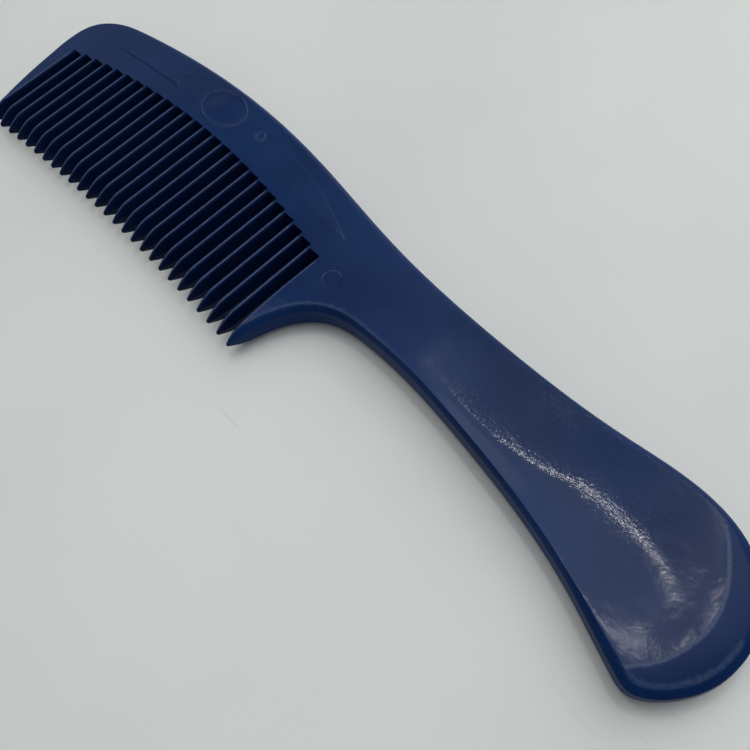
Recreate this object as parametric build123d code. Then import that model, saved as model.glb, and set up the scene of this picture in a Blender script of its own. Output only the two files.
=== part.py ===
from build123d import *
import math
import os

# Handled comb, millimetres. The comb lies flat: X runs from the front guard tooth to the butt of the
# handle, Y from the tooth tips to the back, and Z is up. It is drawn from its front end, about the
# mid-plane where its two mould halves meet, and then moved so that the origin is the middle of its
# underside. The comb is one moulding, divided here into its named regions, which meet face to face.

# Moulding
THICKNESS = 7.0
HALF = THICKNESS / 2
EDGE_RADIUS = 1.3  # rounding of the outer edges of both faces

# Teeth
PITCH = 3.9
TOOTH_COUNT = 25  # between the two guard teeth
FIRST_CENTRE = 5.6  # centre line of the tooth-like inner side of the front guard
TOOTH_WIDTH = 2.1  # at the mid-plane
RIDGE_WIDTH = 0.5  # along the top of a tooth
SHOULDER_HALF = 2.9  # half thickness where a tooth starts to narrow to its tip
SHOULDER = 6.0  # length over which it narrows
TIP_WIDTH = 0.7
TIP_HALF = 0.35
OVERLAP = 1.5  # run of a tooth into the back before it is trimmed to meet it
ROOT_CROWN = (59.3, 6.5)  # highest point of the arc on which the slots end
ROOT_RADIUS = 197.5
TIP_CROWN = (72.4, -24.8)  # highest point of the arc on which the tips lie
TIP_RADIUS = 608.0

# Where the moulding is divided
FRONT_CUT = -3.0
REAR_CUT = -9.0
NECK_START = 112.0
GRIP_START = 150.0
BUTT_START = 184.0

# Thumb dish, a shallow spoon-like hollow in both faces of the handle
DISH_DEPTH = 1.5
DISH_LONG_RADIUS = 290.0  # curvature along the handle
DISH_CROSS_RADIUS = 37.5
DISH_CENTRE = (176.0, 1.8)
DISH_TURN = -6.0  # degrees, to follow the handle

# Middle of the comb's plan, which becomes the origin
MIDDLE_X = 107.9
MIDDLE_Y = -3.6

# Relief on the upper face of the back
PANEL_HEIGHT = 0.15
RIM_HEIGHT = 0.2
RIM_WIDTH = 0.8
ROUNDEL_CENTRE = (55.2, 13.7)
ROUNDEL_LENGTH = 14.7
ROUNDEL_WIDTH = 10.6
MARK_CENTRE = (69.6, 13.9)  # plain moulding mark, a small ring
MARK_RADIUS = 1.45
MARK_WIDTH = 0.5

# Outer edge of the moulding at the mid-plane
FRONT_CORNER = [(0.0, FRONT_CUT), (-0.5, 2.5), (0.8, 9.0), (5.6, 13.7)]
BACK_EDGE = [(15.5, 16.8), (36.0, 19.8), (59.0, 21.0), (86.6, 19.1), (117.0, 14.7)]
HANDLE_TOP = [(150.0, 13.1), (177.8, 14.4), (195.0, 15.8), (205.3, 13.5)]
BUTT_END = [(212.8, 7.3), (215.8, -4.2), (214.7, -9.7), (212.3, -14.1)]
BUTT_CORNER = [(209.1, -17.5), (206.4, -18.8), (202.8, -18.1)]
HANDLE_BOTTOM = [(187.4, -12.5), (156.4, -6.3), (128.0, -4.6)]
SWEEP = [(117.5, -7.0), (114.8, REAR_CUT)]

# Guard teeth from where they are cut to their tips: y, x of the inner side, x of the outer side
FRONT_GUARD = [(FRONT_CUT, 6.65, 0.0), (-12.0, 6.6, 1.3), (-20.1, 6.5, 3.0), (-25.1, 6.1, 4.3),
               (-28.2, 5.5, 5.0)]
REAR_GUARD = [(REAR_CUT, 105.9, 114.8), (-14.5, 105.9, 110.9), (-20.3, 106.0, 108.9), (-23.7, 106.3, 107.9),
              (-25.8, 106.7, 107.2)]

# Leaf-shaped panels beside the roundel: pointed end, then the middle and the end of its lower edge,
# the middle of its blunt end, and the end and the middle of its upper edge
FRONT_PANEL = [(13.7, 8.3), (26.0, 9.6), (39.5, 10.5), (44.3, 13.5), (41.0, 15.8), (27.5, 12.2)]
REAR_PANEL = [(107.9, 7.7), (90.5, 9.0), (74.5, 10.7), (73.8, 13.6), (76.0, 16.0), (92.0, 13.4)]


def arc_height(x, crown, radius):
    """Y at x of the arc that has its crown at the given point."""
    return crown[1] + math.sqrt(radius**2 - (x - crown[0]) ** 2) - radius


def root_at(x):
    return arc_height(x, ROOT_CROWN, ROOT_RADIUS)


def tip_at(x):
    return arc_height(x, TIP_CROWN, TIP_RADIUS)


def tooth_centre(number):
    return FIRST_CENTRE + PITCH * number


def blank():
    """Back and handle in one, with rounded outer edges, down to where the guard teeth are cut off."""
    front_x = tooth_centre(0) + TOOTH_WIDTH / 2
    rear_x = tooth_centre(TOOTH_COUNT + 1) - TOOTH_WIDTH / 2
    front_root = (front_x, root_at(front_x))
    rear_root = (rear_x, root_at(rear_x))
    edge_points = FRONT_CORNER + BACK_EDGE + HANDLE_TOP + BUTT_END + BUTT_CORNER + HANDLE_BOTTOM + SWEEP
    with BuildSketch() as outline:
        with BuildLine():
            outer = Spline(edge_points)
            Polyline(outer @ 1, (rear_x, REAR_CUT), rear_root)
            RadiusArc(rear_root, front_root, -ROOT_RADIUS)
            Polyline(front_root, (front_x, FRONT_CUT), outer @ 0)
        make_face()
    solid = extrude(outline.sketch, amount=HALF, both=True)
    face_edges = solid.edges().filter_by(lambda edge: abs(abs(edge.center().Z) - HALF) < 0.001)
    return fillet(face_edges.sort_by(Edge.length)[-2:], EDGE_RADIUS)


def dish(side):
    """Ring with the dish's two curvatures, which hollows the upper (side 1) or lower (side -1) face."""
    ring = Rot(90, 0, 0) * Torus(DISH_LONG_RADIUS - DISH_CROSS_RADIUS, DISH_CROSS_RADIUS)
    height = HALF - DISH_DEPTH + DISH_LONG_RADIUS
    return Pos(*DISH_CENTRE, side * height) * Rot(0, 0, DISH_TURN) * ring


def panel(points):
    """Slightly raised leaf on the upper face, pointed at one end and blunt at the other."""
    point, low_middle, low, blunt_middle, high, high_middle = points
    with BuildSketch() as leaf:
        with BuildLine():
            ThreePointArc(point, low_middle, low)
            ThreePointArc(low, blunt_middle, high)
            ThreePointArc(high, high_middle, point)
        make_face()
    return Pos(0, 0, HALF) * extrude(leaf.sketch, amount=PANEL_HEIGHT)


def roundel():
    """Raised oval rim on the upper face."""
    outside = Ellipse(ROUNDEL_LENGTH / 2, ROUNDEL_WIDTH / 2)
    inside = Ellipse(ROUNDEL_LENGTH / 2 - RIM_WIDTH, ROUNDEL_WIDTH / 2 - RIM_WIDTH)
    ring = Pos(*ROUNDEL_CENTRE, HALF) * (outside - inside)
    return extrude(ring, amount=RIM_HEIGHT)


def moulding_mark():
    """Small raised ring between the roundel and the rear panel."""
    ring = Circle(MARK_RADIUS) - Circle(MARK_RADIUS - MARK_WIDTH)
    return extrude(Pos(*MARK_CENTRE, HALF) * ring, amount=RIM_HEIGHT)


def region(x_from, x_to):
    """Block that keeps the part of the moulding between two stations along its length."""
    return Pos((x_from + x_to) / 2, 0, 0) * Box(x_to - x_from, 100, 100)


def tooth_section(centre, y, width, half):
    """Cross-section of a tooth: widest at the mid-plane, narrower along the top and the bottom."""
    ridge = RIDGE_WIDTH / TOOTH_WIDTH * width / 2
    shoulder = 0.8 * half
    flank = (width / 2 + ridge) / 2
    right = [(width / 2, 0), (flank, shoulder), (ridge, half)]
    points = right + [(-x, z) for x, z in reversed(right)]
    points = points + [(x, -z) for x, z in reversed(points[1:-1])]
    plane = Plane(origin=(centre, y, 0), x_dir=(1, 0, 0), z_dir=(0, -1, 0))
    return plane * make_face(Polyline(points, close=True))


def tooth(centre, back):
    """One tooth, from the back, which it meets face to face, to its tip."""
    tip, root = tip_at(centre), root_at(centre)
    stations = [
        (root + OVERLAP, TOOTH_WIDTH, HALF),
        (tip + SHOULDER, TOOTH_WIDTH, SHOULDER_HALF),
        (tip + SHOULDER * 0.4, TOOTH_WIDTH * 0.75, SHOULDER_HALF * 0.66),
        (tip, TIP_WIDTH, TIP_HALF),
    ]
    body = loft([tooth_section(centre, *station) for station in stations], ruled=True)
    return body - back


def guard_section(y, inside, outside, half):
    """Cross-section of a guard tooth: a rounded rectangle."""
    width = abs(outside - inside)
    plane = Plane(origin=((inside + outside) / 2, y, 0), x_dir=(1, 0, 0), z_dir=(0, -1, 0))
    radius = min(EDGE_RADIUS, 0.45 * width, 0.45 * 2 * half)
    return plane * RectangleRounded(width, 2 * half, radius)


def guard(stations):
    """Guard tooth, which narrows in both views from its cut to its tip."""
    tip = stations[-1][0]
    sections = []
    for y, inside, outside in stations:
        share = min(1.0, (y - tip) / SHOULDER)
        half = TIP_HALF + (SHOULDER_HALF - TIP_HALF) * math.sqrt(share)
        if y == stations[0][0]:
            half = HALF
        sections.append(guard_section(y, inside, outside, half))
    return loft(sections, ruled=True)


def save(name, solid):
    shape = Pos(-MIDDLE_X, -MIDDLE_Y, HALF) * solid
    shape.label = name
    export_step(shape, f"parts/{name}.step")


if __name__ == "__main__":
    os.makedirs("parts", exist_ok=True)
    moulding = blank() - dish(1) - dish(-1)
    moulding = moulding + panel(FRONT_PANEL) + panel(REAR_PANEL) + roundel() + moulding_mark()
    back = moulding & region(-10, NECK_START)
    save("back", back)
    save("neck", moulding & region(NECK_START, GRIP_START))
    save("handle_grip", moulding & region(GRIP_START, BUTT_START))
    save("handle_butt", moulding & region(BUTT_START, 250))
    save("front_guard_tooth", guard(FRONT_GUARD))
    save("rear_guard_tooth", guard(REAR_GUARD))
    for number in range(1, TOOTH_COUNT + 1):
        save(f"tooth_{number:02d}", tooth(tooth_centre(number), back))
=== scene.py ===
import math

import bmesh
import bpy
import numpy as np
from mathutils import Matrix, Vector
from mathutils.geometry import delaunay_2d_cdt


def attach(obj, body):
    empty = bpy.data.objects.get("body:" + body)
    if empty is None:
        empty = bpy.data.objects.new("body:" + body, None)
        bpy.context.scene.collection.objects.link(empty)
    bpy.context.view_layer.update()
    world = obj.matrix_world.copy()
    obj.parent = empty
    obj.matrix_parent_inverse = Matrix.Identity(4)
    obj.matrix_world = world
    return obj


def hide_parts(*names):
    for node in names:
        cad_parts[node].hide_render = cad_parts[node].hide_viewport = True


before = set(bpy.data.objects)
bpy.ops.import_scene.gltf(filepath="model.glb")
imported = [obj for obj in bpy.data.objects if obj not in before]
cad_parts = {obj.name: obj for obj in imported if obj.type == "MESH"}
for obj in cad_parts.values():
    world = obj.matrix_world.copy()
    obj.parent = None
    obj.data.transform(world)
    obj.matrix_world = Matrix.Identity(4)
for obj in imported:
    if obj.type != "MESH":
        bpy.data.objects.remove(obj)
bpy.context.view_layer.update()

# The comb is one moulding. Its skin is made here as one closed surface, which is then divided into the
# same named regions as the CAD model. Lengths are millimetres in the comb's drawing, which starts at
# the front end and has Z = 0 on the mid-plane; place() turns them into metres in the shared frame.

MM = 0.001
MIDDLE_X = 107.9  # place in the drawing of the shared frame's origin, which lies on the underside
MIDDLE_Y = -3.6
HALF = 3.5  # half the thickness

# Teeth
PITCH = 3.9
TOOTH_COUNT = 25
FIRST_CENTRE = 5.6  # of the front guard tooth, which is number 0
TOOTH_HALF = 1.05  # half width at the mid-plane
RIDGE_HALF = 0.11  # half width of the flat along the top of a tooth
SHOULDER = 6.0  # length of the taper at the end of a tooth
SHOULDER_HALF = 2.9  # half thickness where the taper begins
TAPER_POWER = 1.8
TIP_RADIUS = 0.35
TIP_RIDGE = 0.05  # radius of the flat on a tip
STUB = 1.2  # length of tooth that belongs to the back
SLOT_CORNER = 0.3  # radius at the mid-plane
SLOT_FACE_CORNER = 0.45  # radius at the faces
SLOT_END_RUN = 0.3  # how far the end of a slot leans towards the back
ROOT_CROWN = (59.3, 6.5)  # the line of the slots' ends is a bow, and so is the line of the tips
ROOT_RADIUS = 197.5
TIP_CROWN = (72.4, -24.8)
TIP_LINE_RADIUS = 608.0
FLANK_ROWS = 7
TIP_ROWS = 12
TIP_STEPS = 9  # points round the tip of a tooth
GUARD_TIP_STEPS = 7
SLOT_CORNER_STEPS = 5

# Outer edge at the mid-plane, from the tip of the rear guard tooth round the butt to the front one
REAR_GUARD = [(107.2, -25.55), (107.9, -23.7), (108.9, -20.3), (110.9, -14.5), (114.8, -9.0),
              (117.5, -7.0)]
HANDLE_LOWER = [(128.0, -4.6), (156.4, -6.3), (187.4, -12.5)]
BUTT = [(202.8, -18.1), (206.4, -18.8), (209.1, -17.5), (212.3, -14.1), (214.7, -9.7), (215.8, -4.2),
        (212.8, 7.3)]
HANDLE_UPPER = [(205.3, 13.5), (195.0, 15.8), (177.8, 14.4), (150.0, 13.1)]
BACK_EDGE = [(117.0, 14.7), (86.6, 19.1), (59.0, 21.0), (36.0, 19.8), (15.5, 16.8), (5.6, 13.7), (0.8, 9.0)]
FRONT_GUARD = [(-0.5, 2.5), (0.0, -3.0), (1.3, -12.0), (3.0, -20.1), (4.3, -25.1), (5.0, -27.95)]
FRONT_INNER = [(6.65, -3.0), (6.6, -12.0), (6.5, -20.1), (6.1, -25.1), (5.5, -27.95)]
REAR_INNER = [(105.9, -9.0), (105.9, -14.5), (106.0, -20.3), (106.3, -23.7), (106.7, -25.55)]
GUARD_TIP_RADIUS = 0.25
OUTLINE_STEP = 0.7

# Side walls
WALL_RUN = 1.4  # how far the wall leans in between the mid-plane and the edge of the face
HANDLE_RUN = 0.95  # of the lower side of the handle
BUTT_RUN = 2.1
HANDLE_START = 118.0  # where the steeper wall of the lower side begins, and where it ends
HANDLE_END = 185.0
HOLLOW_EDGE_END = 190.0  # where the lower edge of the hollow begins to follow the run of the butt
BUTT_START = 196.0
RUN_BLEND = 12.0  # length of each change from one run to another
TOOTH_RUN = TOOTH_HALF - RIDGE_HALF
GUARD_FULL_WIDTH = 2.7  # a guard tooth narrower than this has its walls scaled down
# Profiles of the walls: part of the height below the rounding, part of the run that is even draft,
# and how full the rounding is (1 a chamfer, 2 a quarter of an ellipse)
WALL_PROFILE = (0.62, 0.10, 1.35)
TOOTH_PROFILE = (0.84, 0.55, 2.0)
STRAIGHT_LEVELS = (0.4, 0.8)  # where the part below the rounding has points
ROUNDING_STEP = 10  # degrees
FLASH = 0.03  # how far the parting line stands out
FLASH_HALF = 0.09

# How pale the edges are made: on the tooth ridges and along the lip this is a painted highlight, and on the
# outer edge it is chafing and painted highlight. The outer edge has it along the sweep behind the teeth,
# and round the butt, on the near side only.
RIDGE_HIGHLIGHT = 1.8
EDGE_CHAFE_AND_HIGHLIGHT = 1.0
LIP_HIGHLIGHT = 2.2
SWEEP_CHAFE_AND_HIGHLIGHT_END = 130.0
SWEEP_CHAFE_AND_HIGHLIGHT_FADE = 15.0
BUTT_CHAFE_AND_HIGHLIGHT_START = 200.0
CHAFE_AND_HIGHLIGHT_BLEND = 6.0
HIGHLIT_RIDGE_LEVELS = [0, 1, -2, -1]  # points of a rib nearest to the two faces
CHAFED_AND_HIGHLIT_EDGE_LEVELS = [0, 1, 2, -3, -2, -1]
LIP_LINE_HALF = 0.1  # reach of the painted highlight line along the lip

# Hollow of the handle, and the lip across the butt
LIP = [(196.0, 16.5), (200.1, 13.2), (205.1, 7.6), (207.7, 3.0), (208.9, -3.0), (208.2, -8.1),
       (206.1, -13.2), (204.6, -15.2), (201.5, -19.0)]
HANDLE_LAST = 204.0  # last X of the outline that the sides of the hollow follow
DISH_DEPTH = 1.6
DISH_MIDDLE = 176.0  # where the hollow is deepest
# Bottom line of the hollow
TROUGH = [(138.0, 1.5), (150.0, -1.4), (157.5, -2.2), (167.0, -1.4), (174.0, 0.2), (179.0, 2.0),
          (190.0, 2.3), (195.0, 1.6), (201.0, -1.5), (204.5, -3.6), (209.0, -4.4)]
DISH_NEAR_LENGTH = 37.0  # from its middle to its end by the neck
DISH_FAR_LENGTH = 31.0  # from its middle to where it would end if the lip didn't cut it off
DISH_SOFTNESS = 0.15  # how gently its ends begin
MIDDLE_ROUNDNESS = 0.55  # of its bottom from side to side: 0 would be a sharp V
LIP_ROUNDNESS = 0.17
ROUNDNESS_CHANGE = 18.0  # length over which the one becomes the other
LIP_SLOPE = 0.3  # of the hollow just inside the lip
LIP_SOFTNESS = 0.35
BUTT_SLOPE = 0.06  # of the face just outside the lip
BUTT_CURVE = 0.022
NO_LIP = 100.0  # distance from the lip of points before the handle
LEAST_HOLLOW = 0.1  # keeps the slope at the lip steady where the hollow runs out

# Relief on the upper face of the back
PANEL_HEIGHT = 0.15
PANEL_FAR_SHARE = 0.3  # height of its upper edge beside that of its lower edge
PANEL_EDGE = 0.35
FRONT_PANEL = [(13.7, 8.3), (26.0, 9.6), (39.5, 10.5), (44.3, 13.5), (41.0, 15.8), (27.5, 12.2)]
REAR_PANEL = [(107.9, 7.7), (90.5, 9.0), (74.5, 10.7), (73.8, 13.6), (76.0, 16.0), (92.0, 13.4)]
RIM_HEIGHT = 0.2
RIM_HALF = 0.4
ROUNDEL_CENTRE = (55.2, 13.7)
ROUNDEL_RADII = (6.95, 4.9)  # of the middle of its rim
ROUNDEL_DOME = 0.12
MARK_CENTRE = (69.6, 13.9)
MARK_RADIUS = 1.2
EJECTOR_CENTRE = (113.0, -0.6)
EJECTOR_RADIUS = 2.1
EJECTOR_DEPTH = 0.06

# Where the moulding is divided: lines across it, from the lower to the upper edge
CUTS = {"neck": ((117.5, -7.0), (112.0, 14.9)), "grip": ((150.0, -5.6), (150.0, 12.5)),
        "butt": ((184.0, -12.0), (184.0, 14.4))}
HEAD_END = CUTS["neck"][0][0]
CUT_MARGIN = 1.0  # takes in the points that lie on a cut
# Guard teeth are cut straight across from these points of their outer flanks
FRONT_CUT = FRONT_GUARD[1]
REAR_CUT = REAR_GUARD[4]

# Colours
PLASTIC_DARK = (0.0032, 0.021, 0.095)
PLASTIC_LIGHT = (0.0052, 0.029, 0.121)
# The next colour is painted shade for the walls of the slots.
PLASTIC_PAINTED_SHADE = (0.0006, 0.004, 0.024)
# The next colour is a paler navy for chafing and for painted highlights on the ridges, the lip and the near
# outer edge.
PLASTIC_CHAFE_AND_HIGHLIGHT = (0.10, 0.14, 0.26)
TABLE_DARK = (0.81, 0.825, 0.815)
TABLE_LIGHT = (0.88, 0.895, 0.885)
TABLE_MARK = (0.45, 0.46, 0.45)

# Where a thumb has scuffed the hollow, and how far from there the scuffing starts and stops to fade
THUMB_PLACE = (173.0, -1.0, 2.0)
THUMB_INNER = 26.0
THUMB_OUTER = 42.0
THUMB_RAGGED = 30.0
SCUFF_ELSEWHERE = 0.3

# Points of the faces: a grid, and rows of points along the relief and the lip
GRID_STEP = 0.7
CURVE_STEP = 1.0
LIP_POINT_STEP = 0.6
CONTOUR_CLEARANCE = 0.4
ROW_CLEARANCE = 0.3
EDGE_ROWS = (-0.7, -0.35, 0.0, 0.35, 0.7)
RIM_ROWS = (-1.0, -0.5, 0.0, 0.5, 1.0)
LIP_ROWS = (-0.9, -0.45, 0.0, 0.45, 0.9)
EJECTOR_ROW_SHARE = 0.6
CIRCLE_STEP = 5  # degrees
PANEL_SIDE_STEPS = 90
PANEL_END_STEPS = 14
SAME_DISTANCE = 1e-9
INSIDE_EDGES = 1  # what the triangulation keeps
MERGE_DISTANCE = 1e-7
INSIDE_SHARE = 0.05  # of a step of the contour: how far inside it the region of a wall is looked up


# Curves

def smooth_curve(points, step):
    """Points about every step along the natural cubic spline through the given ones."""
    points = np.array(points, float)
    lengths = np.linalg.norm(np.diff(points, axis=0), axis=1)
    knots = np.concatenate([[0.0], np.cumsum(lengths)])
    slopes = np.diff(points, axis=0) / lengths[:, None]
    matrix = np.eye(len(points))
    right = np.zeros_like(points)
    for i in range(1, len(points) - 1):
        matrix[i, i - 1 : i + 2] = lengths[i - 1], 2 * (lengths[i - 1] + lengths[i]), lengths[i]
        right[i] = 6 * (slopes[i] - slopes[i - 1])
    bend = np.linalg.solve(matrix, right)
    stations = np.linspace(0, knots[-1], max(2, round(knots[-1] / step) + 1))
    span = np.clip(np.searchsorted(knots, stations, side="right") - 1, 0, len(lengths) - 1)
    length = lengths[span][:, None]
    after = (stations - knots[span])[:, None] / length
    before = 1 - after
    line = before * points[span] + after * points[span + 1]
    curve = (before**3 - before) * bend[span] + (after**3 - after) * bend[span + 1]
    return line + curve * length**2 / 6


def arc(centre, radius, from_angle, to_angle, count):
    """Points on a circular arc, both ends included; angles in degrees."""
    angles = np.radians(np.linspace(from_angle, to_angle, count))
    return np.stack([centre[0] + radius * np.cos(angles), centre[1] + radius * np.sin(angles)], 1)


def three_point_arc(start, middle, end, count):
    """Points on the circular arc through three points."""
    (ax, ay), (bx, by), (cx, cy) = start, middle, end
    matrix = 2 * np.array([[bx - ax, by - ay], [cx - ax, cy - ay]])
    right = [bx**2 - ax**2 + by**2 - ay**2, cx**2 - ax**2 + cy**2 - ay**2]
    centre = np.linalg.solve(matrix, right)
    radius = math.dist(centre, start)
    angles = [math.degrees(math.atan2(y - centre[1], x - centre[0])) for x, y in (start, middle, end)]
    turn = (angles[2] - angles[0] + 180) % 360 - 180
    return arc(centre, radius, angles[0], angles[0] + turn, count)


def crowned_line(x, crown, radius):
    """Y at x of an arc with its crown at the given point."""
    return crown[1] + np.sqrt(radius**2 - (x - crown[0]) ** 2) - radius


def root_line(x):
    """Y at x of the line of the slots' ends."""
    return crowned_line(x, ROOT_CROWN, ROOT_RADIUS)


def tip_line(x):
    """Y at x of the line of the tips."""
    return crowned_line(x, TIP_CROWN, TIP_LINE_RADIUS)


def tooth_centre(number):
    return FIRST_CENTRE + PITCH * number


def smoothstep(value):
    """Rises smoothly from 0 to 1 as the value does."""
    value = np.clip(value, 0, 1)
    return value * value * (3 - 2 * value)


def distances(points, path):
    """Distance of each point from a path, and on which side of it the point is (+1 left, -1 right)."""
    best = np.full(len(points), np.inf)
    side = np.ones(len(points))
    for start, end in zip(path[:-1], path[1:]):
        along = end - start
        offset = points - start
        reach = np.clip(offset @ along / (along @ along), 0, 1)
        gap = np.linalg.norm(offset - reach[:, None] * along, axis=1)
        closer = gap < best - SAME_DISTANCE
        best[closer] = gap[closer]
        cross = along[0] * offset[:, 1] - along[1] * offset[:, 0]
        side[closer] = np.where(cross[closer] >= 0, 1.0, -1.0)
    return best, side


def inside(points, path):
    """Which points lie inside a closed path."""
    x, y = points[:, 0], points[:, 1]
    odd = np.zeros(len(points), bool)
    for (ax, ay), (bx, by) in zip(path, np.roll(path, -1, axis=0)):
        if ay != by:
            crosses = (ay > y) != (by > y)
            odd ^= crosses & (x < (bx - ax) * (y - ay) / (by - ay) + ax)
    return odd


# Plan of the moulding: its widest contour at the mid-plane, and the edge of its faces inside it

class Contour:
    """Matching points of the mid-plane contour and of the edge of the upper face, anticlockwise."""

    def __init__(self):
        self.wide = []
        self.face = []
        self.profiles = []

    def add(self, wide, face, profile=TOOTH_PROFILE):
        self.wide += [tuple(point) for point in wide]
        self.face += [tuple(point) for point in face]
        self.profiles += [profile] * len(wide)


def guard_scale(width):
    """Part of their full run that the walls of a guard tooth have where it is this wide."""
    return np.minimum(1, width / GUARD_FULL_WIDTH)


def normals(points, closed=False):
    """Unit vectors to the left of a path."""
    if closed:
        ahead = np.roll(points, -1, axis=0) - np.roll(points, 1, axis=0)
    else:
        ahead = np.gradient(points, axis=0)
    left = np.stack([-ahead[:, 1], ahead[:, 0]], 1)
    return left / np.linalg.norm(left, axis=1)[:, None]


def tooth_taper(fraction):
    """Size of a tooth beside its full one, this fraction of the way from its shoulder to its end."""
    return 1 - np.clip(fraction, 0, 1) ** TAPER_POWER


def tooth_stations(number):
    """Y of the rows of points along a tooth, from where it leaves the back to where its tip rounds."""
    centre = tooth_centre(number)
    cut = root_line(centre) - STUB
    tip = tip_line(centre)
    shoulder = tip + SHOULDER
    straight = np.linspace(cut, shoulder, FLANK_ROWS)[:-1]
    tapered = shoulder - (SHOULDER - TIP_RADIUS) * np.linspace(0, 1, TIP_ROWS)
    return np.concatenate([straight, tapered])


def tooth_widths(number, y):
    """Half widths of a tooth at its mid-plane and of its ridge."""
    fraction = (tip_line(tooth_centre(number)) + SHOULDER - y) / SHOULDER
    end = (SHOULDER - TIP_RADIUS) / SHOULDER
    taper = (tooth_taper(fraction) - tooth_taper(end)) / (1 - tooth_taper(end))
    wide = TIP_RADIUS + (TOOTH_HALF - TIP_RADIUS) * taper
    ridge = TIP_RIDGE + (RIDGE_HALF - TIP_RIDGE) * taper
    return wide, ridge


def add_tip(contour, centre, radius, steps):
    """Half-round tip of any tooth, from its near flank to the other."""
    contour.add(arc(centre, radius, 180, 360, steps)[1:-1], arc(centre, TIP_RIDGE, 180, 360, steps)[1:-1])


def add_tooth(contour, number):
    """Down the near flank of a tooth, round its tip and up the other flank."""
    centre = tooth_centre(number)
    y = tooth_stations(number)
    wide, ridge = tooth_widths(number, y)
    contour.add(np.stack([centre - wide, y], 1), np.stack([centre - ridge, y], 1))
    add_tip(contour, (centre, y[-1]), TIP_RADIUS, TIP_STEPS)
    contour.add(np.stack([centre + wide, y], 1)[::-1], np.stack([centre + ridge, y], 1)[::-1])


def slot_corners(left, right, top, radius):
    """The two rounded corners of the end of a slot."""
    near = arc((left + radius, top - radius), radius, 180, 90, SLOT_CORNER_STEPS)
    far = arc((right - radius, top - radius), radius, 90, 0, SLOT_CORNER_STEPS)
    return np.concatenate([near, far])


def add_slot_end(contour, number):
    """Rounded end of the slot between a tooth and the next, from flank to flank."""
    left = tooth_centre(number) + TOOTH_HALF
    right = tooth_centre(number + 1) - TOOTH_HALF
    top = root_line((left + right) / 2)
    wide = slot_corners(left, right, top, SLOT_CORNER)
    face = slot_corners(left - TOOTH_RUN, right + TOOTH_RUN, top + SLOT_END_RUN, SLOT_FACE_CORNER)
    contour.add(wide, face)


def flank_x(y, flank):
    """X at y of a flank of a guard tooth, its points given in either order."""
    flank = np.array(sorted(flank, key=lambda point: point[1]))
    return np.interp(y, flank[:, 1], flank[:, 0])


def guard_width(x, y):
    """Width of the guard tooth at points of its outer flank, and the full width anywhere else."""
    front = (x < FRONT_INNER[0][0]) & (y < FRONT_CUT[1])
    rear = (x > REAR_INNER[0][0]) & (x < REAR_CUT[0] + CUT_MARGIN) & (y < REAR_CUT[1])
    width = np.full(len(x), GUARD_FULL_WIDTH)
    width[front] = flank_x(y[front], FRONT_INNER) - x[front]
    width[rear] = x[rear] - flank_x(y[rear], REAR_INNER)
    return width


def outer_run(x, y):
    """How far the outer wall leans in at each point of its foot."""
    butt = smoothstep((x - BUTT_START) / RUN_BLEND)
    handle = smoothstep((x - HANDLE_START) / RUN_BLEND) * (1 - smoothstep((x - HANDLE_END) / RUN_BLEND))
    run = WALL_RUN + (BUTT_RUN - WALL_RUN) * butt - (WALL_RUN - HANDLE_RUN) * handle * (y < 0)
    return run * guard_scale(guard_width(x, y))


def add_outer_edge(contour):
    """From the tip of the rear guard tooth round the handle to the tip of the front one."""
    points = REAR_GUARD + HANDLE_LOWER + BUTT + HANDLE_UPPER + BACK_EDGE + FRONT_GUARD
    wide = smooth_curve(points, OUTLINE_STEP)
    run = outer_run(wide[:, 0], wide[:, 1])
    contour.add(wide, wide + normals(wide) * run[:, None], WALL_PROFILE)


def add_guard_inner(contour, points, outer, side):
    """Inner flank of a guard tooth, its points given from the root to the tip.

    Its wall leans towards the front of the comb if side is -1, and towards the handle if it is 1.
    """
    wide = smooth_curve(points, OUTLINE_STEP)
    width = np.abs(wide[:, 0] - flank_x(wide[:, 1], outer))
    face = wide + np.stack([side * TOOTH_RUN * guard_scale(width), np.zeros(len(wide))], 1)
    if side < 0:
        wide, face = wide[::-1], face[::-1]
    contour.add(wide, face)


def add_guard_tip(contour, outer_end, inner_end):
    """Half-round tip of a guard tooth, between the ends of its two flanks."""
    centre = ((outer_end[0] + inner_end[0]) / 2, outer_end[1])
    add_tip(contour, centre, GUARD_TIP_RADIUS, GUARD_TIP_STEPS)


def moulding_contour():
    """The whole contour: front guard tooth, slots and teeth, rear guard tooth, and the outer edge."""
    contour = Contour()
    front_root = (tooth_centre(0) + TOOTH_HALF, root_line(tooth_centre(0)) - STUB)
    rear = tooth_centre(TOOTH_COUNT + 1)
    rear_root = (rear - TOOTH_HALF, root_line(rear) - STUB)
    add_guard_tip(contour, FRONT_GUARD[-1], FRONT_INNER[-1])
    add_guard_inner(contour, [front_root] + FRONT_INNER, FRONT_GUARD, -1)
    add_slot_end(contour, 0)
    for number in range(1, TOOTH_COUNT + 1):
        add_tooth(contour, number)
        add_slot_end(contour, number)
    add_guard_inner(contour, [rear_root] + REAR_INNER, REAR_GUARD, 1)
    add_guard_tip(contour, REAR_GUARD[0], REAR_INNER[-1])
    add_outer_edge(contour)
    return np.array(contour.wide), np.array(contour.face), contour.profiles


# Height of the faces above and below the mid-plane

def tooth_drop(points):
    """How far the face sinks below the back's level along the teeth and at their tips."""
    x, y = points.T
    reach = np.clip(x, tooth_centre(0), tooth_centre(TOOTH_COUNT + 1))
    start = np.where(x > tooth_centre(TOOTH_COUNT) + PITCH / 2, REAR_CUT[1], root_line(reach))
    tip = tip_line(reach)
    shoulder = tip + SHOULDER
    slope = np.clip((start - y) / (start - shoulder), 0, 1)
    height = HALF + (SHOULDER_HALF - HALF) * slope
    height = TIP_RADIUS + (height - TIP_RADIUS) * tooth_taper((shoulder - y) / SHOULDER)
    return np.where(x < HEAD_END + CUT_MARGIN, HALF - height, 0)


def soft_positive(value, softness):
    """The value where it is positive and 0 where it is negative, with a gentle change between them."""
    return (value + np.sqrt(value**2 + softness**2)) / 2


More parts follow.
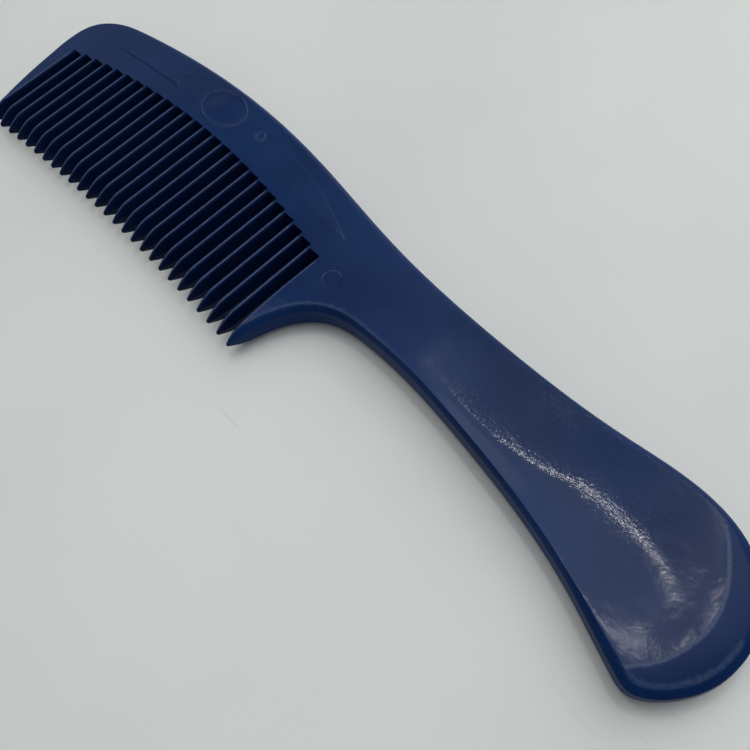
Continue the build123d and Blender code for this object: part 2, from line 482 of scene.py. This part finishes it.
def hollow_sides(x, wide):
    """Y of the lower and of the upper edge of the hollow at x."""
    handle = wide[(wide[:, 0] > HANDLE_START) & (wide[:, 0] < HANDLE_LAST)]
    lower = handle[handle[:, 1] < 0]
    upper = handle[handle[:, 1] > 0][::-1]
    butt = smoothstep((x - HOLLOW_EDGE_END) / RUN_BLEND)
    low = np.interp(x, lower[:, 0], lower[:, 1]) + HANDLE_RUN + (BUTT_RUN - HANDLE_RUN) * butt
    high = np.interp(x, upper[:, 0], upper[:, 1]) - WALL_RUN
    return low, high


def hollow_depth(x, y, wide):
    """Depth of the hollow as it would be without the lip."""
    low, high = hollow_sides(x, wide)
    trough = smooth_curve(TROUGH, CURVE_STEP)
    bottom = np.interp(x, trough[:, 0], trough[:, 1])
    across = np.clip((y - bottom) / np.where(y < bottom, bottom - low, high - bottom), -1, 1)
    change = smoothstep((x - DISH_MIDDLE) / ROUNDNESS_CHANGE)
    roundness = MIDDLE_ROUNDNESS - (MIDDLE_ROUNDNESS - LIP_ROUNDNESS) * change
    rise = (np.hypot(across, roundness) - roundness) / (np.hypot(1, roundness) - roundness)
    length = np.where(x < DISH_MIDDLE, DISH_NEAR_LENGTH, DISH_FAR_LENGTH)
    fade = soft_positive(1 - ((x - DISH_MIDDLE) / length) ** 2, DISH_SOFTNESS)
    return DISH_DEPTH * fade * (1 - rise)


def handle_drop(points, wide):
    """How far the hollow of the handle and the slope round the butt sink below the back's level."""
    x, y = points.T
    gap, side = distances(points, smooth_curve(LIP, CURVE_STEP))
    by_lip = x > DISH_MIDDLE - DISH_NEAR_LENGTH
    to_lip = np.where(by_lip, -side * gap, NO_LIP)
    within = soft_positive(to_lip, LIP_SOFTNESS)
    beyond = soft_positive(-to_lip, LIP_SOFTNESS)
    hollow = hollow_depth(x, y, wide)
    depth = hollow * (1 - np.exp(-LIP_SLOPE * within / np.maximum(hollow, LEAST_HOLLOW)))
    return depth + BUTT_SLOPE * beyond + BUTT_CURVE * beyond**2


def panel_arcs(points):
    """The lower edge of a leaf-shaped panel from its point, its blunt end and its upper edge."""
    point, low_middle, low, blunt_middle, high, high_middle = points
    lower = three_point_arc(point, low_middle, low, PANEL_SIDE_STEPS)
    blunt = three_point_arc(low, blunt_middle, high, PANEL_END_STEPS)
    upper = three_point_arc(high, high_middle, point, PANEL_SIDE_STEPS)
    return lower, blunt, upper


def panel_relief(points, panel):
    """Height of a leaf-shaped panel, which slopes down from its lower edge to its upper one."""
    lower, blunt, upper = panel_arcs(panel)
    path = np.concatenate([lower, blunt[1:], upper[1:]])
    gap, _ = distances(points, path)
    to_lower, _ = distances(points, lower)
    to_upper, _ = distances(points, upper)
    slope = PANEL_FAR_SHARE + (1 - PANEL_FAR_SHARE) * to_upper / (to_upper + to_lower)
    depth = np.where(inside(points, path[:-1]), gap, -gap)
    return PANEL_HEIGHT * slope * smoothstep(depth / PANEL_EDGE + 0.5)


def relief(points):
    """Height of the panels, the roundel and the marks above the upper face."""
    height = panel_relief(points, FRONT_PANEL) + panel_relief(points, REAR_PANEL)
    reach = np.linalg.norm((points - np.array(ROUNDEL_CENTRE)) / np.array(ROUNDEL_RADII), axis=1)
    height += ROUNDEL_DOME * smoothstep(1 - reach)
    height += RIM_HEIGHT * smoothstep(1 - np.abs(reach - 1) * min(ROUNDEL_RADII) / RIM_HALF)
    reach = np.linalg.norm(points - np.array(MARK_CENTRE), axis=1)
    height += RIM_HEIGHT * smoothstep(1 - np.abs(reach - MARK_RADIUS) / RIM_HALF)
    reach = np.linalg.norm(points - np.array(EJECTOR_CENTRE), axis=1)
    height -= EJECTOR_DEPTH * smoothstep((EJECTOR_RADIUS - reach) / PANEL_EDGE + 0.5)
    return height


# Mesh of the moulding: both faces come from one triangulated plan, and ribs of points join them

def rib_levels(profile):
    """Points of a wall from its lower edge to its upper one: side of the mid-plane, height, run."""
    shoulder, draft, fullness = profile
    levels = [(FLASH_HALF / HALF, 0.0)] + [(shoulder * share, 0.0) for share in STRAIGHT_LEVELS]
    for degrees in range(0, 90, ROUNDING_STEP):
        angle = math.radians(degrees)
        rise = math.sin(angle) ** (2 / fullness)
        levels.append((shoulder + (1 - shoulder) * rise, 1 - math.cos(angle) ** (2 / fullness)))
    levels = [(height, draft * height + (1 - draft) * rounding) for height, rounding in levels]
    below = [(-1, height, run) for height, run in reversed(levels)]
    above = [(1, height, run) for height, run in levels]
    return below + [(0, 0.0, 0.0)] + above


def feature_rows():
    """Rows of points along the edges of the relief and the lip, where the faces turn sharply."""
    rows = []
    for panel in (FRONT_PANEL, REAR_PANEL):
        path = np.concatenate([edge[:-1] for edge in panel_arcs(panel)])
        left = normals(path, closed=True)
        rows += [path + left * offset * PANEL_EDGE for offset in EDGE_ROWS]
    angles = np.radians(np.arange(0, 360, CIRCLE_STEP))
    circle = np.stack([np.cos(angles), np.sin(angles)], 1)
    for offset in RIM_ROWS:
        edge = offset * PANEL_EDGE * EJECTOR_ROW_SHARE
        rows.append(np.array(ROUNDEL_CENTRE) + circle * (np.array(ROUNDEL_RADII) + offset * RIM_HALF))
        rows.append(np.array(MARK_CENTRE) + circle[::3] * (MARK_RADIUS + offset * RIM_HALF))
        rows.append(np.array(EJECTOR_CENTRE) + circle[::2] * (EJECTOR_RADIUS + edge))
    lip = smooth_curve(LIP, LIP_POINT_STEP)
    left = normals(lip)
    rows += [lip + left * offset for offset in LIP_ROWS]
    return np.concatenate(rows)


def cut_chains(face, lines):
    """Points between the ends of each long cut line, evenly spaced."""
    chains = {}
    for name, (first, last) in lines.items():
        start, end = face[first], face[last]
        steps = round(math.dist(start, end) / GRID_STEP)
        chains[name] = [start + (end - start) * i / steps for i in range(1, steps)]
    return chains


def face_points(face, cut_points):
    """Points inside the edge of the face: the feature rows, and a grid that keeps clear of them."""
    lowest = face.min(0)
    highest = face.max(0)
    columns = np.arange(lowest[0], highest[0], GRID_STEP)
    rows = np.arange(lowest[1], highest[1], GRID_STEP)
    grid = np.stack(np.meshgrid(columns, rows), -1).reshape(-1, 2)
    features = feature_rows()
    kept = []
    closed = np.concatenate([face, face[:1]])
    for points in (features, grid):
        points = points[inside(points, face)]
        gap, _ = distances(points, closed)
        points = points[gap > CONTOUR_CLEARANCE]
        kept.append(points[nearest_gaps(points, cut_points) > ROW_CLEARANCE])
    features, grid = kept
    return np.concatenate([features, grid[nearest_gaps(grid, features) > ROW_CLEARANCE]])


def nearest_gaps(points, others):
    """Distance from each point to the nearest of some others."""
    return np.array([np.min(np.linalg.norm(others - point, axis=1)) for point in points])


def nearest_index(points, target):
    """Number of the point nearest to a target."""
    return int(np.argmin(np.linalg.norm(points - np.array(target), axis=1)))


def cut_lines(wide):
    """Pairs of contour points between which the moulding is divided."""
    lines = {name: tuple(nearest_index(wide, end) for end in ends) for name, ends in CUTS.items()}
    lines["front_guard"] = (nearest_index(wide, FRONT_CUT), nearest_index(wide, FRONT_INNER[0]))
    lines["rear_guard"] = (nearest_index(wide, REAR_INNER[0]), nearest_index(wide, REAR_CUT))
    for number in range(1, TOOTH_COUNT + 1):
        centre = tooth_centre(number)
        y = root_line(centre) - STUB
        ends = [(centre - TOOTH_HALF, y), (centre + TOOTH_HALF, y)]
        lines[f"tooth_{number:02d}"] = tuple(nearest_index(wide, end) for end in ends)
    return lines


def region_of(point, ends):
    """Name of the CAD node that a point of the face belongs to."""
    x, y = point

    def right_of(name):
        start, end = ends[name]
        return (end[0] - start[0]) * (y - start[1]) < (end[1] - start[1]) * (x - start[0])

    number = round((x - FIRST_CENTRE) / PITCH)
    if 1 <= number <= TOOTH_COUNT and y < ends[f"tooth_{number:02d}"][0][1]:
        return f"tooth_{number:02d}"
    if x < tooth_centre(1) and right_of("front_guard"):
        return "front_guard_tooth"
    if tooth_centre(TOOTH_COUNT) < x < HEAD_END and right_of("rear_guard"):
        return "rear_guard_tooth"
    if right_of("butt"):
        return "handle_butt"
    if right_of("grip"):
        return "handle_grip"
    if right_of("neck"):
        return "neck"
    return "back"


def plan_of_faces(face, lines):
    """Points and triangles of the plan that both faces share, and the contour points' numbers in it."""
    count = len(face)
    edges = [(i, (i + 1) % count) for i in range(count)]
    cut_points = []
    for name, chain in cut_chains(face, lines).items():
        numbers = [count + len(cut_points) + i for i in range(len(chain))]
        stops = [lines[name][0]] + numbers + [lines[name][1]]
        edges += list(zip(stops[:-1], stops[1:]))
        cut_points += chain
    cut_points = np.array(cut_points)
    given = np.concatenate([face, cut_points, face_points(face, cut_points)])
    given = [Vector(point) for point in given]
    plan, _, triangles, sources_of, _, _ = delaunay_2d_cdt(given, edges, [], INSIDE_EDGES, MERGE_DISTANCE)
    lookup = {source: index for index, sources in enumerate(sources_of) for source in sources}
    return np.array([tuple(point) for point in plan]), triangles, [lookup[k] for k in range(count)]


def face_triangles(plan, triangles, ends):
    """An upper and a lower triangle for each of the plan's, and the region of each."""
    faces = []
    regions = []
    for triangle in triangles:
        name = region_of(plan[list(triangle)].mean(0), ends)
        faces.append(tuple(triangle))
        faces.append(tuple(index + len(plan) for index in reversed(triangle)))
        regions += [name, name]
    return faces, regions


def wall_ribs(wide, face, profiles, rims, drop, first):
    """Points of the wall, and for each contour point a rib of numbers from the lower face to the upper one.

    rims holds the contour points' numbers in the plan, and first is the number of the wall's first point.
    """
    points = []
    ribs = []
    outward = -normals(wide, closed=True)
    for k, rim in enumerate(rims):
        rib = [rim + len(drop)]
        for side, height, run in rib_levels(profiles[k]):
            spot = wide[k] + (face[k] - wide[k]) * run
            if side == 0:
                spot = spot + outward[k] * FLASH
            rib.append(first + len(points))
            points.append((spot[0], spot[1], side * height * (HALF - drop[rim])))
        rib.append(rim)
        ribs.append(rib)
    return points, ribs


def wall_quads(ribs, face, ends):
    """Faces between neighbouring ribs, and the region of each."""
    faces = []
    regions = []
    for k, rib in enumerate(ribs):
        after = (k + 1) % len(ribs)
        ahead = face[after] - face[k]
        just_inside = (face[k] + face[after]) / 2 + np.array([-ahead[1], ahead[0]]) * INSIDE_SHARE
        name = region_of(just_inside, ends)
        for low, high, next_low, next_high in zip(rib[:-1], rib[1:], ribs[after][:-1], ribs[after][1:]):
            faces.append((low, next_low, next_high, high))
            regions.append(name)
    return faces, regions


def moulding_surface():
    """The whole closed surface: its points and faces, the faces' regions and the points' values."""
    wide, face, profiles = moulding_contour()
    lines = cut_lines(wide)
    ends = {name: (face[first], face[last]) for name, (first, last) in lines.items()}
    plan, triangles, rims = plan_of_faces(face, lines)
    drop = tooth_drop(plan) + handle_drop(plan, wide)
    upper = np.column_stack([plan, HALF - drop + relief(plan)])
    lower = np.column_stack([plan, drop - HALF])
    wall, ribs = wall_ribs(wide, face, profiles, rims, drop, 2 * len(plan))
    points = np.concatenate([upper, lower, wall])
    flat_faces, flat_regions = face_triangles(plan, triangles, ends)
    wall_faces, wall_regions = wall_quads(ribs, face, ends)
    values = surface_values(plan, wide, profiles, np.array(ribs), len(points))
    return points, flat_faces + wall_faces, flat_regions + wall_regions, values


def surface_values(plan, wide, profiles, ribs, count):
    """For each point: 1 on a wall, 1 on the wall of a slot, where the material paints shade, and how much
    pale chafing and painted highlight it has.
    """
    outer = np.array([profile == WALL_PROFILE for profile in profiles])
    side = np.zeros(count)
    side[ribs[:, 1:-1]] = 1.0
    slot = np.zeros(count)
    # Walls of the slots, which the material darkens with painted shade
    slot[ribs[~outer][:, 1:-1]] = 1.0
    chafe_and_highlight = np.zeros(count)
    on_tooth = ~outer & (wide[:, 1] < root_line(wide[:, 0]) - SLOT_CORNER * 2)
    # Painted highlight: the ridges of the teeth are made paler.
    chafe_and_highlight[ribs[on_tooth][:, HIGHLIT_RIDGE_LEVELS]] = RIDGE_HIGHLIGHT
    near_side = outer & (wide[:, 1] < 0)
    # Chafing and painted highlight along the outer edge, on the near side only.
    edge_share_of_chafe_and_highlight = EDGE_CHAFE_AND_HIGHLIGHT * chafe_and_highlight_share(wide[near_side, 0])
    chafe_and_highlight[ribs[near_side][:, CHAFED_AND_HIGHLIT_EDGE_LEVELS]] = edge_share_of_chafe_and_highlight[:, None]
    gap, _ = distances(plan, smooth_curve(LIP, CURVE_STEP))
    on_lip = np.flatnonzero(gap < LIP_LINE_HALF)
    # Painted highlight: a pale line along the crest of the lip.
    chafe_and_highlight[on_lip] = LIP_HIGHLIGHT
    chafe_and_highlight[on_lip + len(plan)] = LIP_HIGHLIGHT
    return {"side": side, "slot": slot, "chafe_and_highlight": chafe_and_highlight}


def chafe_and_highlight_share(x):
    """How much of the full chafing and painted highlight the outer edge has at x: all of it along the sweep
    and round the butt.
    """
    sweep = smoothstep((x - REAR_GUARD[0][0]) / CHAFE_AND_HIGHLIGHT_BLEND)
    sweep *= 1 - smoothstep((x - SWEEP_CHAFE_AND_HIGHLIGHT_END) / SWEEP_CHAFE_AND_HIGHLIGHT_FADE)
    butt = smoothstep((x - BUTT_CHAFE_AND_HIGHLIGHT_START) / CHAFE_AND_HIGHLIGHT_BLEND)
    return np.maximum(sweep, butt)


def place(points):
    """Metres in the shared frame of points in the comb's drawing."""
    return (np.array(points) - np.array([MIDDLE_X, MIDDLE_Y, -HALF])) * MM


def whole_normals(points, faces):
    """Area-weighted normal at each point of the whole surface."""
    result = np.zeros((len(points), 3))
    for indices in faces:
        corner = points[list(indices)]
        normal = np.cross(corner[1] - corner[0], corner[2] - corner[0])
        if len(indices) == 4:
            normal = np.cross(corner[2] - corner[0], corner[3] - corner[1])
        for index in indices:
            result[index] += normal
    return result / np.linalg.norm(result, axis=1)[:, None]


def close_ends(mesh):
    """Fills the flat ends of an open mesh. Its own faces keep their numbers, and the new ones follow."""
    shell = bmesh.new()
    shell.from_mesh(mesh)
    open_edges = [edge for edge in shell.edges if edge.is_boundary]
    bmesh.ops.holes_fill(shell, edges=open_edges, sides=0)
    bmesh.ops.triangulate(shell, faces=[face for face in shell.faces if len(face.verts) > 4])
    shell.to_mesh(mesh)
    shell.free()


def shade(mesh, skin_count, skin_normals):
    """Shades the skin by the given normals of its points, and the ends behind it flat."""
    mesh.polygons.foreach_set("use_smooth", [i < skin_count for i in range(len(mesh.polygons))])
    corner_normals = []
    for polygon in mesh.polygons:
        for loop in polygon.loop_indices:
            on_skin = polygon.index < skin_count
            normal = skin_normals[mesh.loops[loop].vertex_index] if on_skin else polygon.normal
            corner_normals.append(tuple(normal))
    mesh.normals_split_custom_set(corner_normals)


def make_region(name, points, point_normals, values, faces, material):
    """One region of the moulding as a closed mesh, shaded as part of the whole surface."""
    used = sorted({index for indices in faces for index in indices})
    local = {index: i for i, index in enumerate(used)}
    mesh = bpy.data.meshes.new(name)
    mesh.from_pydata(points[used], [], [[local[index] for index in indices] for indices in faces])
    close_ends(mesh)
    shade(mesh, len(faces), point_normals[used])
    for label, numbers in values.items():
        attribute = mesh.attributes.new(label, "FLOAT", "POINT")
        attribute.data.foreach_set("value", numbers[used])
    mesh.materials.append(material)
    piece = bpy.data.objects.new(name, mesh)
    bpy.context.scene.collection.objects.link(piece)
    return piece


# Materials

# Lengths in the materials are metres, and scales are features to a metre.

SCRATCH_CORE = 0.6  # a scratch is at full depth where the noise is this part of its amount below 1

# Numbers of a Mix node's colour sockets, which have the same names as its other sockets
MIX_FIRST = 6
MIX_SECOND = 7
MIX_RESULT = 2


def add_node(tree, kind, inputs=None, **settings):
    """A node with its settings, and its inputs given as values or as sockets to link."""
    node = tree.nodes.new("ShaderNode" + kind)
    for name, value in settings.items():
        setattr(node, name, value)
    for name, value in (inputs or {}).items():
        if isinstance(value, bpy.types.NodeSocket):
            tree.links.new(value, node.inputs[name])
        else:
            node.inputs[name].default_value = value
    return node


def new_material(name):
    """A material with its node tree, its shader and the place on the object, in metres."""
    material = bpy.data.materials.new(name)
    material.use_nodes = True
    tree = material.node_tree
    shader = tree.nodes["Principled BSDF"]
    place_of = add_node(tree, "TexCoord").outputs["Object"]
    return material, tree, shader, place_of


def surface_value(tree, name):
    """One of the values that surface_values() gives each point of the comb."""
    return add_node(tree, "Attribute", attribute_name=name).outputs["Fac"]


def noise(tree, vector, scale, detail=2.0):
    """Cloudy noise, from 0 to 1, with its larger features about 1 / scale apart."""
    inputs = {"Vector": vector, "Scale": scale, "Detail": detail, "Roughness": 0.5}
    return add_node(tree, "TexNoise", inputs).outputs["Fac"]


def ramp(tree, value, low, high, to_low=0.0, to_high=1.0):
    """Value moved from one range to another, and held at its ends."""
    inputs = {"Value": value, "From Min": low, "From Max": high, "To Min": to_low, "To Max": to_high}
    return add_node(tree, "MapRange", inputs, interpolation_type="SMOOTHSTEP").outputs["Result"]


def calculate(tree, operation, first, second):
    return add_node(tree, "Math", {0: first, 1: second}, operation=operation).outputs["Value"]


def add_shares(tree, base, shares):
    """A value with shares of some others added to it."""
    for value, share in shares:
        base = calculate(tree, "ADD", base, calculate(tree, "MULTIPLY", value, share))
    return base


def scratches(tree, vector, angle, length, width, amount):
    """Fine straight scratches in one direction: noise stretched along it, of which the peaks are kept."""
    turn = (0, 0, math.radians(angle))
    scale = (1 / length, 1 / width, 1 / width)
    mapping = add_node(tree, "Mapping", {"Vector": vector, "Rotation": turn, "Scale": scale})
    peaks = noise(tree, mapping.outputs["Vector"], scale=1.0, detail=1.0)
    return ramp(tree, peaks, 1 - amount, 1 - amount * SCRATCH_CORE)


def mixed_colour(tree, factor, first, second):
    """From the first colour, numbers or a socket, to the second, which is numbers."""
    if not isinstance(first, bpy.types.NodeSocket):
        first = (*first, 1)
    inputs = {"Factor": factor, MIX_FIRST: first, MIX_SECOND: (*second, 1)}
    return add_node(tree, "Mix", inputs, data_type="RGBA").outputs[MIX_RESULT]


def layered_bump(tree, layers):
    """Normal of several height fields, each given with its height in metres."""
    normal = None
    for height, distance in layers:
        inputs = {"Height": height, "Distance": distance, "Strength": 1.0}
        if normal is not None:
            inputs["Normal"] = normal
        normal = add_node(tree, "Bump", inputs).outputs["Normal"]
    return normal


def thumb_scuff(tree, spot):
    """1 in the middle of the hollow, falling raggedly to what the rest of the comb has."""
    centre = {0: spot, 1: place(THUMB_PLACE)}
    reach = add_node(tree, "VectorMath", centre, operation="DISTANCE").outputs["Value"]
    reach = add_shares(tree, reach, [(noise(tree, spot, scale=130.0), THUMB_RAGGED * MM)])
    return ramp(tree, reach, THUMB_INNER * MM, THUMB_OUTER * MM, to_low=1.0, to_high=SCUFF_ELSEWHERE)


def plastic_marks(tree, spot):
    """Patches of fine scratches in two directions."""
    long_marks = scratches(tree, spot, angle=12.0, length=0.030, width=0.00016, amount=0.36)
    cross_marks = scratches(tree, spot, angle=-58.0, length=0.012, width=0.00014, amount=0.34)
    patches = ramp(tree, noise(tree, spot, scale=110.0, detail=3.0), 0.45, 0.7)
    return calculate(tree, "MULTIPLY", calculate(tree, "MAXIMUM", long_marks, cross_marks), patches)


def comb_plastic():
    """Navy moulded plastic: glossy, a little wavy, finely scratched, with painted shade in the slots, and
    paler along its edges from chafing and painted highlights.
    """
    material, tree, shader, spot = new_material("comb_plastic")
    chafe_and_highlight, sides, slots = [surface_value(tree, name) for name in ("chafe_and_highlight", "side", "slot")]
    cloud = noise(tree, spot, scale=45.0, detail=3.0)
    marks = plastic_marks(tree, spot)
    speckle = noise(tree, spot, scale=1900.0, detail=3.0)
    speckle = ramp(tree, speckle, 0.35, 0.70, to_low=0.55, to_high=1.0)
    speckled_chafe_and_highlight = calculate(tree, "MULTIPLY", chafe_and_highlight, speckle)

    colour = mixed_colour(tree, ramp(tree, cloud, 0.35, 0.65), PLASTIC_DARK, PLASTIC_LIGHT)
    # Painted shade: the walls of the slots are darkened towards a near-black navy.
    colour = mixed_colour(tree, calculate(tree, "MULTIPLY", slots, 0.65), colour, PLASTIC_PAINTED_SHADE)
    # Painted highlight, mixed with speckled chafing: tooth ridges, the lip and the near outer edge are made
    # paler.
    colour = mixed_colour(tree, calculate(tree, "MULTIPLY", speckled_chafe_and_highlight, 0.35), colour, PLASTIC_CHAFE_AND_HIGHLIGHT)
    tree.links.new(colour, shader.inputs["Base Color"])

    rough = ramp(tree, cloud, 0.3, 0.7, to_low=0.10, to_high=0.15)
    rough = add_shares(tree, rough, [(marks, 0.2), (speckled_chafe_and_highlight, 0.2), (sides, 0.25)])
    tree.links.new(rough, shader.inputs["Roughness"])
    gloss = ramp(tree, sides, 0.0, 1.0, to_low=0.5, to_high=0.18)
    tree.links.new(gloss, shader.inputs["Specular IOR Level"])
    shader.inputs["IOR"].default_value = 1.3

    waves = noise(tree, spot, scale=160.0)
    ripples = noise(tree, spot, scale=1400.0)
    ripples = calculate(tree, "MULTIPLY", ripples, thumb_scuff(tree, spot))
    grain = noise(tree, spot, scale=5200.0)
    layers = [(waves, 0.00008), (ripples, 0.000034), (grain, 0.0000012), (marks, -0.000006)]
    tree.links.new(layered_bump(tree, layers), shader.inputs["Normal"])
    return material


def table_marks(tree, spot):
    """Patches of fine scratches in two directions, and specks all over."""
    fine = scratches(tree, spot, angle=35.0, length=0.035, width=0.0003, amount=0.30)
    cross = scratches(tree, spot, angle=-70.0, length=0.025, width=0.0003, amount=0.28)
    patches = ramp(tree, noise(tree, spot, scale=14.0), 0.5, 0.75)
    specks = ramp(tree, noise(tree, spot, scale=2600.0), 0.70, 0.78)
    marks = calculate(tree, "MULTIPLY", calculate(tree, "MAXIMUM", fine, cross), patches)
    return calculate(tree, "MAXIMUM", marks, specks)


def table_top():
    """Pale painted table, faintly mottled and finely scratched."""
    material, tree, shader, spot = new_material("table_top")
    mottle = noise(tree, spot, scale=9.0, detail=4.0)
    marks = table_marks(tree, spot)
    colour = mixed_colour(tree, ramp(tree, mottle, 0.3, 0.7), TABLE_DARK, TABLE_LIGHT)
    colour = mixed_colour(tree, calculate(tree, "MULTIPLY", marks, 0.45), colour, TABLE_MARK)
    tree.links.new(colour, shader.inputs["Base Color"])
    shader.inputs["Roughness"].default_value = 0.45
    tree.links.new(layered_bump(tree, [(mottle, 0.0002), (marks, -0.00002)]), shader.inputs["Normal"])
    return material


# Comb

def build_comb():
    """One mesh for each node of the CAD model."""
    points, faces, regions, values = moulding_surface()
    points = place(points)
    point_normals = whole_normals(points, faces)
    material = comb_plastic()
    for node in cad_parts:
        own = [indices for indices, region in zip(faces, regions) if region == node]
        piece = make_region("moulded_" + node, points, point_normals, values, own, material)
        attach(piece, "root")
        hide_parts(node)


# Stage

# Camera: places in the comb's drawing, roll in degrees, lens and sensor in millimetres
CAMERA_PLACE = (202.27, -43.26, 140.85)
CAMERA_TARGET = (134.85, -8.55, 0.0)
CAMERA_ROLL = -16.7
CAMERA_LENS = 38.4
SENSOR_WIDTH = 36.0
NEAREST_SEEN = 5 * MM

FLOOR_HALF = 2.0  # metres

# Room light
ROOM_COLOUR = (0.97, 1.0, 1.0)
ROOM_BRIGHT_SIDE = (0.0, 0.75, 0.66)
ROOM_NARROWING = (1.6, 1.0, 1.0)
ROOM_GLOW_START = 0.45  # cosine of the angle from the bright side at which the glow begins
ROOM_DARKEST = 0.21
ROOM_BRIGHTEST = 1.38

DAYLIGHT = (1, 0.99, 0.97)
WINDOW_LIGHT = (1, 0.995, 0.98)
LAMP_LIGHT = (1, 0.98, 0.95)
# Place, target and size in metres, power in watts, colour. The last three make the hollow's highlights.
LIGHTS = {
    "far_wall": ((-1.5, 0.35, 0.95), (0, 0, 0), (0.9, 0.5), 0.30, DAYLIGHT),
    "ceiling": ((-0.11, 0.33, 1.3), (-0.11, 0.33, 0), (0.62, 1.35), 0.90, DAYLIGHT),
    "near_ceiling": ((-0.70, -0.06, 1.2), (-0.70, -0.06, 0), (1.0, 0.28), 1.5, DAYLIGHT),
    "window": ((-0.15, 0.55, 0.33), (-0.15, 0, 0), (0.9, 0.3), 0.50, WINDOW_LIGHT),
    "tube": ((-0.10, 0.333, 1.0), (0.07, 0, 0), (0.12, 0.03), 0.12, LAMP_LIGHT),
    "lamp": ((-0.12, 0.333, 1.0), (0.07, 0, 0), (0.03, 0.03), 0.34, LAMP_LIGHT),
    "spot": ((0.078, 0.303, 1.0), (0.095, 0, 0), (0.045, 0.045), 0.13, LAMP_LIGHT),
}


def add_floor():
    corners = [(-FLOOR_HALF, -FLOOR_HALF, 0), (FLOOR_HALF, -FLOOR_HALF, 0), (FLOOR_HALF, FLOOR_HALF, 0),
               (-FLOOR_HALF, FLOOR_HALF, 0)]
    mesh = bpy.data.meshes.new("floor")
    mesh.from_pydata(corners, [], [(0, 1, 2, 3)])
    mesh.materials.append(table_top())
    floor = bpy.data.objects.new("floor", mesh)
    bpy.context.scene.collection.objects.link(floor)


def aim(start, target):
    """Rotation that turns a camera or a light at start towards its target."""
    return (Vector(target) - Vector(start)).to_track_quat("-Z", "Y")


def add_light(name, start, target, size, power, colour):
    light = bpy.data.lights.new(name, "AREA")
    light.shape = "RECTANGLE"
    light.size, light.size_y = size
    light.energy = power
    light.color = colour
    lamp = bpy.data.objects.new(name, light)
    lamp.location = start
    lamp.rotation_euler = aim(start, target).to_euler()
    bpy.context.scene.collection.objects.link(lamp)


def add_camera():
    camera = bpy.data.cameras.new("camera")
    camera.lens = CAMERA_LENS
    camera.sensor_width = SENSOR_WIDTH
    camera.clip_start = NEAREST_SEEN
    viewer = bpy.data.objects.new("camera", camera)
    start = place(CAMERA_PLACE)
    turn = aim(start, place(CAMERA_TARGET)).to_matrix() @ Matrix.Rotation(math.radians(CAMERA_ROLL), 3, "Z")
    viewer.matrix_world = Matrix.Translation(start) @ turn.to_4x4()
    bpy.context.scene.collection.objects.link(viewer)
    bpy.context.scene.camera = viewer


def set_world():
    """Soft room light, brightest high on the far side and darkest on the side of the viewer."""
    world = bpy.data.worlds.new("studio")
    world.use_nodes = True
    tree = world.node_tree
    ahead = add_node(tree, "TexCoord").outputs["Generated"]
    scaled = add_node(tree, "VectorMath", {0: ahead, 1: ROOM_NARROWING}, operation="MULTIPLY")
    unit = add_node(tree, "VectorMath", {0: scaled.outputs["Vector"]}, operation="NORMALIZE")
    facing = {0: unit.outputs["Vector"], 1: ROOM_BRIGHT_SIDE}
    facing = add_node(tree, "VectorMath", facing, operation="DOT_PRODUCT").outputs["Value"]
    strength = ramp(tree, facing, ROOM_GLOW_START, 1.0, ROOM_DARKEST, ROOM_BRIGHTEST)
    background = tree.nodes["Background"]
    background.inputs["Color"].default_value = (*ROOM_COLOUR, 1)
    tree.links.new(strength, background.inputs["Strength"])
    bpy.context.scene.world = world


build_comb()
add_floor()
add_camera()
set_world()
bpy.context.scene.view_settings.view_transform = "Standard"
for light_name, settings in LIGHTS.items():
    add_light(light_name, *settings)
